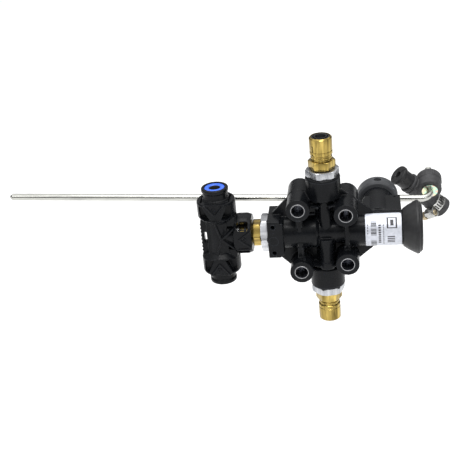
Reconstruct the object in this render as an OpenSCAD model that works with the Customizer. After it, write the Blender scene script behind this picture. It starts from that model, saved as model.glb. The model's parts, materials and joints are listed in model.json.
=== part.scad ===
// Air-suspension height-control valve with a swing lever, a rubber cross joint,
// two brass push-in ports and a push-in supply tee.
// Design frame: X along the spool, Z along the two ports, Y back towards the lever,
// origin where the spool axis crosses the port axis. in_frame() then moves the whole
// valve so that the origin is the centre of the left bolt pair on the mounting face.

/* [Housing] */
// Outer diameter of the spool housing
barrel_d = 28; // [26:0.5:30]
// Diameter of the spool-sleeve bore
sleeve_d = 16; // [15:0.5:17]
// Width and height of the square inlet flange
flange_w = 32; // [30:1:34]
// Outer diameter of the two port barrels
port_barrel_d = 28; // [26:0.5:30]
// Height of each port barrel's end above the spool axis
port_face_z = 49; // [47:0.5:51]
// Thickness of the web plate between the bosses
web_t = 3; // [2:0.5:4]

/* [Mounting bosses] */
// Outer diameter of a bolt boss
boss_d = 18.8; // [17.5:0.1:19.5]
// Outer diameter of the steel sleeve in each boss
bolt_sleeve_d = 12.4; // [12:0.1:13]
// Bolt hole through each sleeve
bolt_hole_d = 10.2; // [9.5:0.1:10.6]
// Distance between the two left bolt holes
left_pitch = 55; // [52:1:58]
// Distance between the two right bolt holes
right_pitch = 43.4; // [41:0.2:46]
// Distance between the left and right bolt columns
column_gap = 37.5; // [36:0.5:39]
// Length of a boss from its front face to its back face
boss_len = 43.8; // [40:0.2:46]

/* [Ports] */
// Outside diameter of the air tube that the ports take
tube_d = 8; // [8:1:8]
// Size across flats of the aluminium port nuts
port_nut_af = 24; // [22:1:25]
// Size across flats of the brass hexagons
brass_af = 19; // [18:1:20]
// Outer diameter of the brass sleeve
brass_sleeve_d = 18.2; // [17:0.2:19]
// Height of the brass mouth above the spool axis
mouth_z = 81.8; // [79:0.2:85]
// Size across flats of the aluminium inlet nut
inlet_nut_af = 27; // [26:1:28]

/* [Tee] */
// Distance from the port axis to the run of the tee
tee_x = 87.4; // [85:0.2:90]
// Half of the tee's length along its run
tee_half = 42.4; // [41:0.2:45]
// Outer diameter of a tee outlet's neck
outlet_d = 20.7; // [20:0.1:22]
// Outer diameter of the lip round a tee outlet's mouth
outlet_lip_d = 22.2; // [21:0.1:23]
// Outer width of the cages round the outlets
cage_d = 31.8; // [30:0.2:33]
// Outer diameter of the release ring
release_d = 17; // [16.6:0.1:17.2]

/* [Lever] */
// Diameter of the lever rod
rod_d = 6; // [6:1:6]
// Distance from the port axis to the lever shaft
shaft_x = 43; // [42:0.5:44]
// Distance from the spool axis back to the lever rod
rod_y = 58; // [57:0.5:60]
// Length of the rod on the free side of the hub
rod_reach = 325; // [250:5:340]
// Distance from the shaft to the bent pin
pin_reach = 45; // [44:0.5:50]
// Slope of the rod in its rest position, in degrees
rod_tilt = 2.67; // [0:0.01:4]
// Lean of the bent pin away from straight back, in degrees
pin_lean = 18; // [0:1:30]
// Outer diameter of the lever hub
hub_d = 35.6; // [34:0.2:36]
// Throw of the eccentric pin that moves the spool
throw = 3; // [2.6:0.1:3.2]

/* [Rubber joint] */
// Outer diameter of the joint's cross tube
joint_d = 16.5; // [16:0.1:17]
// Distance from the bent pin to the cross tube's axis
joint_offset = 11.5; // [11:0.1:12.5]
// Turn of the cross tube about the bent pin, in degrees
joint_turn = 44.4; // [40:0.1:56]
// Turn of the hose clamp's screw housing round the cross tube, in degrees
clamp_turn = 20; // [-10:1:60]

/* [Hidden] */
$fn = 64;

eps = 0.01;
running = 0.05;
barrel_r = barrel_d / 2;
sleeve_r = sleeve_d / 2;
tube_r = tube_d / 2 + 0.1;
rod_r = rod_d / 2;

// Bolt bosses, as [x, z] of each axis in the design frame.
left_x = -20.1;
right_x = left_x + column_gap;
bosses = [[left_x, left_pitch / 2], [left_x, -left_pitch / 2],
          [right_x, right_pitch / 2], [right_x, -right_pitch / 2]];
face_y = -21.05;
back_y = face_y + boss_len;

// Stations along the spool axis.
flange_x0 = -46;
flange_x1 = -36;
adapter_end_x = -38;
sleeve_x0 = -27;
sleeve_x1 = 31;
barrel_x1 = 62;
spigot_x1 = 67;
spool_r = 5;
head_x0 = 36;
head_x1 = 50;

// Stations along a port, measured from the spool axis.
shank_z0 = 36;
nut_z1 = 55;
hex_z0 = 55.5;
hex_z1 = 62.5;
neck_z1 = 67;
shank_r = 6.5;
collet_z0 = 75;
collet_r = 7.5;
collet_z1 = 82.1;

// Stations along the lever shaft.
shaft_r = 6;
hub_y0 = 51;
hub_y1 = 65;
collar_y1 = 50;

// Stations along the bent pin, and along the cross tube.
bend_r = 8;
drum_z0 = 10.1;
drum_z1 = 27.3;
clip_z = drum_z1 + 2.1;
pin_z1 = 38.5;
washer_t = 1;
tube_z = 18.7;
tube_s0 = -14;
tube_s1 = 29.6;
bush_s0 = -27;
bush_s1 = 8;
band_s0 = 15.4;
band_s1 = 23.6;

// ---- Helpers ----------------------------------------------------------------

module in_frame() translate([-left_x, -face_y, 0]) children();

// Cylinder along X between two stations.
module along_x(x0, x1, r) translate([x0, 0, 0]) rotate([0, 90, 0]) cylinder(h = x1 - x0, r = r);

// Cylinder along Y between two stations, at x and z.
module along_y(x, z, y0, y1, r)
    translate([x, y0, z]) rotate([-90, 0, 0]) cylinder(h = y1 - y0, r = r);

// Cylinder along Z between two stations.
module along_z(z0, z1, r) translate([0, 0, z0]) cylinder(h = z1 - z0, r = r);

// Hexagonal prism with both ends turned to a chamfer, on the Z axis.
module hexagon(af, z0, z1, chamfer) {
    across = af / cos(30) / 2;
    intersection() {
        translate([0, 0, z0]) cylinder(h = z1 - z0, r = across, $fn = 6);
        turned([[0, z0], [across - chamfer, z0], [across, z0 + chamfer * 0.6],
                [across, z1 - chamfer * 0.6], [across - chamfer, z1], [0, z1]]);
    }
}

// Solid of revolution about Z from [r, z] points.
module turned(points) rotate_extrude() polygon(points);

// Ring of rectangular section about Z.
module ring(r0, r1, z0, z1) turned([[r0, z0], [r1, z0], [r1, z1], [r0, z1]]);

// O-ring about Z.
module o_ring(r, wire, z) translate([0, 0, z]) rotate_extrude() translate([r, 0]) circle(wire, $fn = 24);

// Children drawn about the port axis, up for the top port and down for the bottom one.
module port(top) mirror([0, 0, top ? 0 : 1]) children();

// Children drawn along Z, turned to lie along +X.
module x_axis() rotate([0, 90, 0]) children();

// Frame of the lever: origin on the shaft axis at the rod, X along the rod.
module lever_frame() translate([shaft_x, rod_y, 0]) rotate([0, rod_tilt, 0]) children();

// Frame of the bent pin: Z along the pin, X along the rod.
module pin_frame() lever_frame() translate([pin_reach, 0, 0]) rotate([pin_lean - 90, 0, 0]) children();

// Frame of the cross tube: X along the tube, Y away from the pin.
module joint_frame() pin_frame() rotate([0, 0, joint_turn]) translate([0, joint_offset, tube_z]) children();

// Frame of the hose clamp's screw: Y along the screw, X along the cross tube.
module clamp_frame()
    joint_frame() rotate([clamp_turn, 0, 0]) translate([(band_s0 + band_s1) / 2, 0, -joint_d / 2 - 3.9]) children();

// Frame of one tee outlet: Z out of the mouth.
module outlet(top) translate([-tee_x, 0, 0]) mirror([0, 0, top ? 0 : 1]) children();

// ---- Housing ----------------------------------------------------------------

module boss_rib(x, z) {
    rib_t = 3;
    rib_y = 13;
    translate([x - rib_t / 2, -rib_y, min(0, z)]) cube([rib_t, 2 * rib_y, abs(z)]);
}

module web() {
    outline = [[-42.2, 14], [-42.2, 17.8], [-28.6, 31.4], [-14, 35.8], [14.7, 35.8], [38.3, 15.9], [38.3, 10]];
    mirrored = [for (i = [len(outline) - 1:-1:0]) [outline[i][0], -outline[i][1]]];
    rotate([90, 0, 0]) linear_extrude(web_t, center = true) polygon(concat(outline, mirrored));
}

module barrel() {
    x_axis() {
        turned([[0, flange_x1], [barrel_r, flange_x1], [barrel_r, -7], [barrel_r - 2, -5], [0, -5]]);
        along_z(-8, 20, 10.6);
        turned([[0, 18.7], [barrel_r - 1, 18.7], [barrel_r, 19.7], [barrel_r, barrel_x1], [0, barrel_x1]]);
        turned([[0, barrel_x1 - 1], [12, barrel_x1 - 1], [12, spigot_x1 - 2], [12.8, spigot_x1 - 2],
                [11.6, spigot_x1], [0, spigot_x1]]);
    }
}

// Port barrel with its neck, standing on the spool housing.
module port_barrel(top) port(top) {
    port_r = port_barrel_d / 2;
    turned([[0, 0], [7.2, 0], [7.2, 27], [port_r, 30.8], [port_r, port_face_z - 1],
            [port_r - 1, port_face_z], [0, port_face_z]]);
    translate([0.75, -4, 0]) along_z(0, 29, 5.5);
}

// Lower half of the front tube, which stands prouder in two steps.
module front_steps() {
    translate([0.75, -8.6, 0]) along_z(-28, -3, 5.9);
    translate([0.75, -9.4, 0]) along_z(-29, -23, 6.4);
}

module shaft_housing() {
    along_y(shaft_x, 0, 0, collar_y1, 14);
    along_y(shaft_x, 0, 6, 36, 15.5);
    translate([32, 5, -14]) cube([29.5, 28, 28]);
    translate([26, 8, -11]) cube([7, 22, 22]);
    for (side = [-1, 1]) translate([26, 12, side * 12 - 1]) cube([20, 3, 2]);
}

module flange() {
    half = flange_w / 2;
    translate([flange_x0, -half, -half]) cube([flange_x1 - flange_x0, flange_w, flange_w]);
    translate([-36.5, -half, -half + 2]) cube([3, flange_w, flange_w - 4]);
}

module housing_cuts() {
    for (b = bosses) along_y(b[0], b[1], face_y - 1, back_y + 1, bolt_sleeve_d / 2);
    along_x(flange_x0 - 1, -34, 7.5);
    along_x(-38, sleeve_x0, 6.5);
    along_x(sleeve_x0, 52, sleeve_r);
    along_x(52, spigot_x1 + 1, 9.5);
    for (top = [true, false]) port(top) {
        along_z(shank_z0, port_face_z + 1, shank_r);
        along_z(sleeve_r - 1, shank_z0 + 1, 3.5);
    }
    along_y(shaft_x, 0, 0, 7, 7.2);
    along_y(shaft_x, 0, 6, 44, 8);
    along_y(shaft_x, 0, 43, collar_y1 + 1, 10);
    for (z = [-11.5, 11.5]) along_y(-41.3, z, -17, -14.8, 1.8);
    translate([57, 30, 10]) cylinder(h = 5, d = 1.6, $fn = 16);
}

module body_housing() {
    color([0.07, 0.07, 0.075])
    difference() {
        union() {
            barrel();
            flange();
            for (top = [true, false]) port_barrel(top);
            front_steps();
            web();
            for (b = bosses) {
                along_y(b[0], b[1], face_y, back_y, boss_d / 2);
                boss_rib(b[0], b[1]);
            }
            shaft_housing();
        }
        housing_cuts();
    }
}

module mounting_sleeves() {
    color([0.75, 0.75, 0.74])
    for (b = bosses) difference() {
        along_y(b[0], b[1], face_y, back_y, bolt_sleeve_d / 2);
        along_y(b[0], b[1], face_y - 1, back_y + 1, bolt_hole_d / 2);
    }
}

module data_label() {
    color([0.85, 0.86, 0.87])
    intersection() {
        difference() {
            along_x(32.3, 60.9, barrel_r + 0.15);
            along_x(32, 61, barrel_r);
        }
        translate([30, -20, -20]) cube([32, 20 - web_t / 2 - 0.1, 40]);
    }
}

// ---- Inlet ------------------------------------------------------------------

module inlet_nut() {
    color([0.72, 0.73, 0.74])
    difference() {
        x_axis() rotate([0, 0, 30]) hexagon(inlet_nut_af, -52, flange_x0, 1.6);
        along_x(-53, flange_x0 + 1, 7.5);
    }
}

module inlet_adapter() {
    color([0.80, 0.62, 0.25])
    difference() {
        x_axis() {
            rotate([0, 0, 30]) hexagon(brass_af, -59, -52.5, 1.2);
            turned([[0, -53], [7.5, -53], [7.5, adapter_end_x], [0, adapter_end_x]]);
            turned([[0, -76], [6.6, -76], [7.6, -75], [7.6, -71.9], [6.2, -71.9], [6.2, -69.9],
                    [7.6, -69.9], [7.6, -66], [6.2, -66], [6.2, -64], [7.6, -64], [7.6, -58], [0, -58]]);
        }
        along_x(-77, adapter_end_x + 1, 3.5);
        along_x(-77, -70, 4.6);
    }
}

module inlet_filter() {
    color([0.65, 0.66, 0.66])
    difference() {
        along_x(-75.5, -70, 4.6);
        for (a = [0:60:300]) rotate([a, 0, 0]) translate([0, 2.6, 0]) along_x(-77, -69, 0.9);
        along_x(-77, -69, 0.9);
    }
}

module check_poppet() {
    color([0.85, 0.84, 0.78])
    x_axis() turned([[0, adapter_end_x + 0.1], [6, adapter_end_x + 0.1], [6, -35.5], [1.5, -34.8],
                     [1.5, -29.6], [0, -29.6]]);
}

// Points of a circle of radius w at angle a round the coil.
function coil_ring(r, w, x, a, sides) =
    [for (k = [0:sides - 1]) let (q = 360 * k / sides, s = r + w * cos(q))
        [x + w * sin(q), s * cos(a), s * sin(a)]];

// Round-wire coil spring along X.
module coil_spring(r, w, x0, x1, turns) {
    sides = 8;
    steps = turns * 20;
    points = [for (i = [0:steps]) each coil_ring(r, w, x0 + (x1 - x0) * i / steps, 360 * turns * i / steps, sides)];
    walls = [for (i = [0:steps - 1], k = [0:sides - 1])
        [i * sides + k, i * sides + (k + 1) % sides, (i + 1) * sides + (k + 1) % sides, (i + 1) * sides + k]];
    ends = [[for (k = [sides - 1:-1:0]) k], [for (k = [0:sides - 1]) steps * sides + k]];
    polyhedron(points, concat(walls, ends));
}

module check_spring() {
    color([0.7, 0.7, 0.7]) coil_spring(5.5, 0.35, -35, sleeve_x0 - 0.4, 4);
}

// ---- Port fittings ----------------------------------------------------------

module port_nut(top) {
    color([0.72, 0.73, 0.74])
    port(top) difference() {
        rotate([0, 0, 13]) hexagon(port_nut_af, port_face_z, nut_z1, 1.4);
        along_z(port_face_z - 1, nut_z1 + 1, shank_r);
    }
}

module port_nut_top() port_nut(true);
module port_nut_bottom() port_nut(false);

module fitting_body(top) {
    sleeve_r = brass_sleeve_d / 2;
    color([0.83, 0.64, 0.22])
    port(top) difference() {
        union() {
            turned([[0, shank_z0], [shank_r, shank_z0], [shank_r, hex_z0 + 1], [0, hex_z0 + 1]]);
            hexagon(brass_af, hex_z0, hex_z1, 1.2);
            turned([[0, hex_z1 - 1], [8, hex_z1 - 1], [8, 64], [8.6, 64.4], [8.6, 65.4], [8, 65.8],
                    [8, neck_z1], [sleeve_r - 0.6, neck_z1], [sleeve_r, neck_z1 + 0.6], [sleeve_r, 70],
                    [sleeve_r - 0.4, 70.3], [sleeve_r, 70.6], [sleeve_r, mouth_z - 1],
                    [sleeve_r - 1, mouth_z], [0, mouth_z]]);
        }
        along_z(shank_z0 - 1, 60, 3.1);
        along_z(59, mouth_z + 1, tube_r);
        ring(0, 6.2, 67.6, 70.2);
        ring(0, 6.6, 73.4, collet_z0);
        ring(0, collet_r + running, collet_z0 - eps, mouth_z + 1);
    }
}

module fitting_body_top() fitting_body(true);
module fitting_body_bottom() fitting_body(false);

module fitting_seals() {
    color([0.05, 0.05, 0.05])
    for (top = [true, false]) port(top) o_ring(5.15, 1.0, 68.9);
}

module fitting_grab_rings() {
    color([0.75, 0.75, 0.75])
    for (top = [true, false]) port(top) ring(tube_r + 0.05, 6.5, 73.5, 73.9);
}

// Stem in each brass fitting that holds the air tube round from inside.
module tube_supports() {
    color([0.20, 0.20, 0.20])
    for (top = [true, false]) port(top)
        turned([[2, 54], [3.1, 54], [3.1, 60], [2.95, 60], [2.95, 78.6], [2.6, 79.2], [2, 79.2]]);
}

// Release collet in a brass mouth, held flush, and pushed in to let the tube go.
module collet(top) {
    color([0.09, 0.09, 0.09])
    port(top) difference() {
        turned([[tube_r + 0.2, collet_z0 + 1.2], [collet_r - 0.8, collet_z0 + 1.2], [collet_r, collet_z0 + 2],
                [collet_r, collet_z1 - 0.5], [collet_r - 0.5, collet_z1], [tube_r + 0.9, collet_z1],
                [tube_r + 0.2, collet_z1 - 1]]);
        for (a = [0, 90]) rotate([0, 0, a]) translate([-8, -0.4, collet_z0]) cube([16, 0.8, 4]);
    }
}

module collet_top() collet(true);
module collet_bottom() collet(false);

// ---- Spool ------------------------------------------------------------------

module spool_sleeve() {
    color([0.78, 0.66, 0.36])
    difference() {
        x_axis() turned([[spool_r, sleeve_x0], [sleeve_r, sleeve_x0], [sleeve_r, -13.1], [7, -13.1], [7, -11.1],
                         [sleeve_r, -11.1], [sleeve_r, 11.1], [7, 11.1], [7, 13.1], [sleeve_r, 13.1],
                         [sleeve_r, 25], [7, 25], [7, 27], [sleeve_r, 27], [sleeve_r, sleeve_x1],
                         [spool_r, sleeve_x1]]);
        for (a = [0:45:315]) rotate([a, 0, 0]) along_z(4, 9, 1.6);
    }
}

module sleeve_seals() {
    color([0.05, 0.05, 0.05])
    for (x = [-12.1, 12.1, 26]) x_axis() ring(7, sleeve_r, x - 0.9, x + 0.9);
}

module spool() {
    land = spool_r - running;
    color([0.70, 0.71, 0.72])
    difference() {
        x_axis() turned([[0, -22], [land, -22], [land, -7], [3.6, -6], [3.6, 3], [land, 4], [land, 14],
                         [4.1, 14], [4.1, 15.4], [land, 15.4], [land, head_x0], [6, head_x0],
                         [6, head_x1], [0, head_x1]]);
        along_x(3, head_x1 + 1, 1.8);
        translate([shaft_x - 2, -7, 0.1]) cube([4, 14, 7]);
        translate([0.5, -7, -0.9]) cube([4, 14, 1.8]);
    }
}

module spool_seals() {
    color([0.05, 0.05, 0.05])
    x_axis() ring(4.1, spool_r - running, 14.1, 15.3);
}

// ---- Lever shaft and hub ----------------------------------------------------

module shaft_frame() translate([shaft_x, 0, 0]) rotate([-90, 0, 0]) children();

module rod_hole(r) lever_frame() along_x(-30, 30, r);

module spare_hole(r) lever_frame() along_z(-30, 30, r);

module lever_shaft() {
    color([0.72, 0.70, 0.62])
    difference() {
        union() {
            along_y(shaft_x, 0, 6.4, hub_y1 + 0.6, shaft_r);
            along_y(shaft_x, 0, 6.4, 8, 7);
            along_y(shaft_x, throw, -5, 7, 1.75);
        }
        rod_hole(rod_r + 0.08);
        spare_hole(3.3);
        along_y(shaft_x, 0, rod_y, hub_y1 + 2, 2.5);
    }
}

module shaft_bushes() {
    color([0.35, 0.34, 0.32])
    shaft_frame() for (y = [9, 32]) ring(shaft_r + running, 8, y, y + 10);
}

module shaft_seal() {
    color([0.06, 0.06, 0.06])
    shaft_frame() turned([[shaft_r + 0.05, 44], [10, 44], [10, 49], [8.4, 49], [8.4, 46], [shaft_r + 0.05, 46]]);
}

module lever_hub() {
    hub_r = hub_d / 2;
    color([0.08, 0.08, 0.08])
    difference() {
        union() {
            shaft_frame() turned([[shaft_r, hub_y0], [hub_r - 1.5, hub_y0], [hub_r, hub_y0 + 1.5],
                                  [hub_r, hub_y1 - 1.5], [hub_r - 1.5, hub_y1], [shaft_r, hub_y1]]);
            lever_frame() translate([14.6, -9, -4]) cube([2.6, 3, 8]);
        }
        rod_hole(rod_r + 0.08);
        spare_hole(3.3);
        shaft_frame() ring(9, 14.5, hub_y1 - 1.2, hub_y1 + 1);
    }
}

module lever_clamp_screw() {
    color([0.6, 0.6, 0.6])
    shaft_frame() difference() {
        along_z(rod_y + rod_r + 0.1, hub_y1 + 0.2, 2.5);
        translate([0, 0, hub_y1 - 2]) cylinder(h = 3, d = 2.9, $fn = 6);
    }
}

module lever_rod() {
    color([0.72, 0.71, 0.66]) {
        lever_frame() {
            along_x(-rod_reach + 2, pin_reach - bend_r, rod_r);
            x_axis() turned([[0, -rod_reach], [1.4, -rod_reach], [rod_r, 2.01 - rod_reach], [0, 2.01 - rod_reach]]);
        }
        pin_frame() {
            translate([-bend_r, 0, bend_r]) rotate([90, 0, 0]) rotate([0, 0, -90])
                rotate_extrude(angle = 90) translate([bend_r, 0]) circle(rod_r);
            turned([[0, bend_r], [rod_r, bend_r], [rod_r, clip_z], [2.3, clip_z], [2.3, clip_z + 1], [rod_r, clip_z + 1],
                    [rod_r, pin_z1 - 1], [rod_r - 1, pin_z1], [0, pin_z1]]);
        }
    }
}

// ---- Rubber cross joint -----------------------------------------------------

module joint_washers() {
    color([0.75, 0.68, 0.40])
    pin_frame() for (z = [drum_z0 - 0.1 - washer_t, drum_z1 + 0.1]) ring(rod_r, 6.75, z, z + washer_t);
}

module pin_clip() {
    color([0.55, 0.55, 0.55])
    pin_frame() difference() {
        ring(2.3, 5.2, clip_z + 0.05, clip_z + 0.95);
        translate([0, -1.6, clip_z - 0.1]) cube([6, 3.2, 2]);
    }
}

module joint_bush() {
    color([0.70, 0.70, 0.68])
    pin_frame() ring(rod_r + running, 4.4, drum_z0, drum_z1);
}

module joint_body() {
    tube_r = joint_d / 2;
    drum_r = 10;
    color([0.10, 0.10, 0.10])
    difference() {
        union() {
            pin_frame() turned([[0, drum_z0], [drum_r - 1, drum_z0], [drum_r, drum_z0 + 1],
                                [drum_r, drum_z1 - 1], [drum_r - 1, drum_z1], [0, drum_z1]]);
            joint_frame() {
                x_axis() turned([[0, tube_s0], [9, tube_s0], [9, tube_s0 + 2.5], [tube_r, tube_s0 + 3.5],
                                 [tube_r, 24], [9.2, 24.6], [9.2, tube_s1 - 0.6], [8.6, tube_s1], [0, tube_s1]]);
                for (s = [-8.5, 9]) translate([s - 1, -5, -tube_r]) cube([2, 10, 2 * tube_r]);
            }
        }
        pin_frame() along_z(drum_z0 - 1, drum_z1 + 1, 4.4);
        joint_frame() {
            along_x(tube_s0 - 1, bush_s1, 5.8);
            along_x(12, tube_s1 + 1, rod_r + 0.1);
        }
    }
}

module split_bush() {
    color([0.12, 0.12, 0.12])
    joint_frame() difference() {
        x_axis() turned([[rod_r, bush_s0], [8.2, bush_s0], [8.8, bush_s0 + 0.6], [8.8, bush_s0 + 3.2],
                         [7.8, bush_s0 + 4], [7.8, tube_s0], [5.8, tube_s0], [5.8, bush_s1], [rod_r, bush_s1]]);
        translate([bush_s0 - 1, -9, -0.5]) cube([13, 18, 1]);
    }
}

module clamp_band() {
    color([0.72, 0.72, 0.70])
    joint_frame() x_axis() ring(joint_d / 2 + 0.02, joint_d / 2 + 0.65, band_s0, band_s1);
}

// Housing of the worm, on the side of the band nearer the rod.
module clamp_housing() {
    color([0.68, 0.68, 0.66])
    clamp_frame() difference() {
        translate([-4.2, -4.5, -3.4]) cube([8.4, 9.5, 6.6]);
        rotate([-90, 0, 0]) translate([0, 0, -6]) cylinder(h = 12, r = 2.7);
    }
}

module clamp_screw() {
    color([0.66, 0.58, 0.42])
    clamp_frame() rotate([-90, 0, 0]) difference() {
        union() {
            along_z(-5, 5.6, 2.6);
            along_z(5.4, 6.4, 3.9);
            translate([0, 0, 6.3]) cylinder(h = 3.4, d = 7 / cos(30), $fn = 6);
        }
        translate([-5, -0.5, 8.7]) cube([10, 1, 2]);
    }
}

// ---- Exhaust ----------------------------------------------------------------

module exhaust_silencer() {
    color([0.55, 0.50, 0.38])
    x_axis() ring(2.2, 9.5, 57.4, 62);
}

module exhaust_flap() {
    color([0.13, 0.13, 0.13])
    x_axis() turned([[0, 54.5], [2.9, 54.5], [2.9, 55.4], [2.1, 55.8], [2.1, spigot_x1 + 0.3],
                     [11.2, spigot_x1 + 0.3], [11.2, spigot_x1 + 1.2], [4, spigot_x1 + 2.2], [0, spigot_x1 + 2.2]]);
}

module exhaust_boot() {
    color([0.11, 0.11, 0.11])
    x_axis() turned([[12, barrel_x1], [15, barrel_x1], [16.4, barrel_x1 + 1.5], [18.1, 65.8], [19.4, 68],
                     [20.4, 70.1], [21.3, 72], [21.7, 73.4], [21.6, 74.6], [20.9, 75.8], [19.8, 76.8], [18.6, 77.5],
                     [17.6, 77.5], [17, 75], [15.4, 71.5], [13, 70], [12.4, spigot_x1 + 0.1],
                     [11.6, spigot_x1], [12.8, spigot_x1 - 2], [12, spigot_x1 - 2]]);
}

// ---- Supply tee -------------------------------------------------------------

// Cage round one outlet, open on both sides between its front and back panels.
module outlet_cage() {
    cage_r = cage_d / 2;
    difference() {
        turned([[0, 15], [12.6, 15], [cage_r, 18], [cage_r, 29.5], [13, 32], [0, 32]]);
        for (side = [-1, 1]) {
            translate([side * 13.2 - 2.3, -20, 19.6]) cube([4.6, 40, 8]);
            translate([-20, side * 20 - 6, 18]) cube([40, 12, 20]);
        }
    }
    lip_r = outlet_lip_d / 2;
    turned([[0, 30], [outlet_d / 2, 30], [outlet_d / 2, tee_half - 3.4], [lip_r, tee_half - 2.8],
            [lip_r, tee_half - 0.6], [lip_r - 0.6, tee_half], [0, tee_half]]);
}

module branch_cage() {
    difference() {
        turned([[0, 8.4], [10.6, 8.4], [11, 13], [14, 13.6], [16.8, 15.6], [16.8, 25], [15.4, 28], [0, 28]]);
        for (side = [-1, 1]) translate([-20, side * 20 - 6, 0]) cube([40, 12, 40]);
        for (side = [-1, 1]) translate([side * 13.6 - 2, -20, 17]) cube([4, 40, 7]);
    }
}

module tee_core() {
    outlet(true) along_z(-20, 20, 10.6);
    translate([-tee_x, 0, 0]) x_axis() along_z(-2, 27, 10.2);
    for (z = [-9, -3, 3, 9]) translate([-tee_x - 12, -9, z - 0.9]) cube([18, 18, 1.8]);
    translate([-tee_x - 12.4, -2, -15]) cube([5, 4, 30]);
}

module tee_cuts() {
    along_x(-80, -tee_x + 28 + 2, 7.65);
    along_x(-tee_x, -76, 3.6);
    for (top = [true, false]) outlet(top) {
        along_z(-1, 24, 3.2);
        along_z(16.5, 30, tube_r);
        ring(0, 6.1, 23.4, 26);
        ring(0, 7.4, 28.4, 33);
        ring(0, 8.55, 32.9, tee_half + 1);
    }
}

module tee_body() {
    color([0.07, 0.07, 0.075])
    difference() {
        union() {
            for (top = [true, false]) outlet(top) outlet_cage();
            translate([-tee_x, 0, 0]) rotate([0, 90, 0]) branch_cage();
            tee_core();
        }
        tee_cuts();
    }
}

module adapter_seal() {
    color([0.05, 0.05, 0.05])
    x_axis() ring(6.2, 7.6, -65.9, -64.1);
}

module adapter_snap_ring() {
    color([0.7, 0.7, 0.7])
    x_axis() difference() {
        ring(6.2, 7.6, -71.6, -70.2);
        translate([0, -1.5, -72]) cube([9, 3, 3]);
    }
}

module tee_seals() {
    color([0.05, 0.05, 0.05])
    for (top = [true, false]) outlet(top) o_ring(5.1, 0.98, 24.7);
}

module tee_grab_rings() {
    color([0.75, 0.75, 0.75])
    for (top = [true, false]) outlet(top) ring(tube_r + 0.05, 7.3, 28.5, 28.9);
}

// Cartridge that keeps the grab ring and guides the release ring.
module tee_cartridges() {
    color([0.16, 0.16, 0.17])
    for (top = [true, false]) outlet(top)
        turned([[6.3, 29.1], [7.4, 29.1], [7.4, 33], [8.5, 33], [8.5, 36.6], [6.3, 36.6]]);
}

module release_ring(top, tint) {
    color(tint)
    outlet(top) turned([[tube_r + 0.15, 30.4], [6.2, 30.4], [6.2, 38.2], [release_d / 2, 38.2],
                        [release_d / 2, tee_half - 0.1], [release_d / 2 - 0.6, tee_half + 0.5], [5.4, tee_half + 0.5],
                        [tube_r + 0.15, tee_half - 0.6]]);
}

module release_ring_top() release_ring(true, [0.16, 0.30, 0.85]);
module release_ring_bottom() release_ring(false, [0.16, 0.30, 0.85]);

// ---- Nodes ------------------------------------------------------------------

in_frame() body_housing();
in_frame() mounting_sleeves();
in_frame() inlet_nut();
in_frame() inlet_adapter();
in_frame() inlet_filter();
in_frame() check_poppet();
in_frame() check_spring();
in_frame() port_nut_top();
in_frame() port_nut_bottom();
in_frame() fitting_body_top();
in_frame() fitting_body_bottom();
in_frame() fitting_seals();
in_frame() fitting_grab_rings();
in_frame() tube_supports();
in_frame() collet_top();
in_frame() collet_bottom();
in_frame() spool_sleeve();
in_frame() sleeve_seals();
in_frame() spool();
in_frame() spool_seals();
in_frame() lever_shaft();
in_frame() shaft_bushes();
in_frame() shaft_seal();
in_frame() lever_hub();
in_frame() lever_clamp_screw();
in_frame() lever_rod();
in_frame() joint_washers();
in_frame() pin_clip();
in_frame() joint_bush();
in_frame() joint_body();
in_frame() split_bush();
in_frame() clamp_band();
in_frame() clamp_housing();
in_frame() clamp_screw();
in_frame() exhaust_silencer();
in_frame() exhaust_flap();
in_frame() exhaust_boot();
in_frame() data_label();
in_frame() tee_body();
in_frame() adapter_seal();
in_frame() adapter_snap_ring();
in_frame() tee_seals();
in_frame() tee_grab_rings();
in_frame() tee_cartridges();
in_frame() release_ring_top();
in_frame() release_ring_bottom();
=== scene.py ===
import json
import math

import bmesh
import bpy
from mathutils import Matrix, Vector


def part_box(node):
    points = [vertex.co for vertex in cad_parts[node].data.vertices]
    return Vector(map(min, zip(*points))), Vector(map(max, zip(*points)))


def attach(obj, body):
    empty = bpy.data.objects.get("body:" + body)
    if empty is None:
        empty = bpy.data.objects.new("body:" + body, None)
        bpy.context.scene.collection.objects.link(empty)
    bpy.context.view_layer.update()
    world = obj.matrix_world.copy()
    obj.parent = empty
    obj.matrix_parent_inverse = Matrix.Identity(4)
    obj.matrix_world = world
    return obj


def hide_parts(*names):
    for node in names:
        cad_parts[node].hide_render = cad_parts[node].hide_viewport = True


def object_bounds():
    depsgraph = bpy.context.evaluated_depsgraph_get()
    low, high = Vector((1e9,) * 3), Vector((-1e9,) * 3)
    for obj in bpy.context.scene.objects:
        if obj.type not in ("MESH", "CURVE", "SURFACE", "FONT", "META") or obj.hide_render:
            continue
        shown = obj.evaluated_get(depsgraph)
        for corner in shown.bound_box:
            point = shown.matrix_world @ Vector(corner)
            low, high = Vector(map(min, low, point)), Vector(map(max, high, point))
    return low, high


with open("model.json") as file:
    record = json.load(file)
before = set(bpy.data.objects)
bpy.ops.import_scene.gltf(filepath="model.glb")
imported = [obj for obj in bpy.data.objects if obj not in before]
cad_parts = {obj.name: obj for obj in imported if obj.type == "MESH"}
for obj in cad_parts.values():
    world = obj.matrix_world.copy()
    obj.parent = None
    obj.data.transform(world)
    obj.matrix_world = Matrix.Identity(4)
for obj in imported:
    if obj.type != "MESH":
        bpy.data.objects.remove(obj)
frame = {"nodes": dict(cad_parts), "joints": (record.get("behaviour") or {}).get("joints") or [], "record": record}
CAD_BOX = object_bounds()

MM = 0.001
JOINTS = {j["name"]: j for j in frame["joints"]}


# ---- Places, worked out from the frame ----------------------------------------

def centre(node):
    """Middle of a CAD node's box, in metres."""
    low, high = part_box(node)
    return (Vector(low) + Vector(high)) / 2


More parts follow.
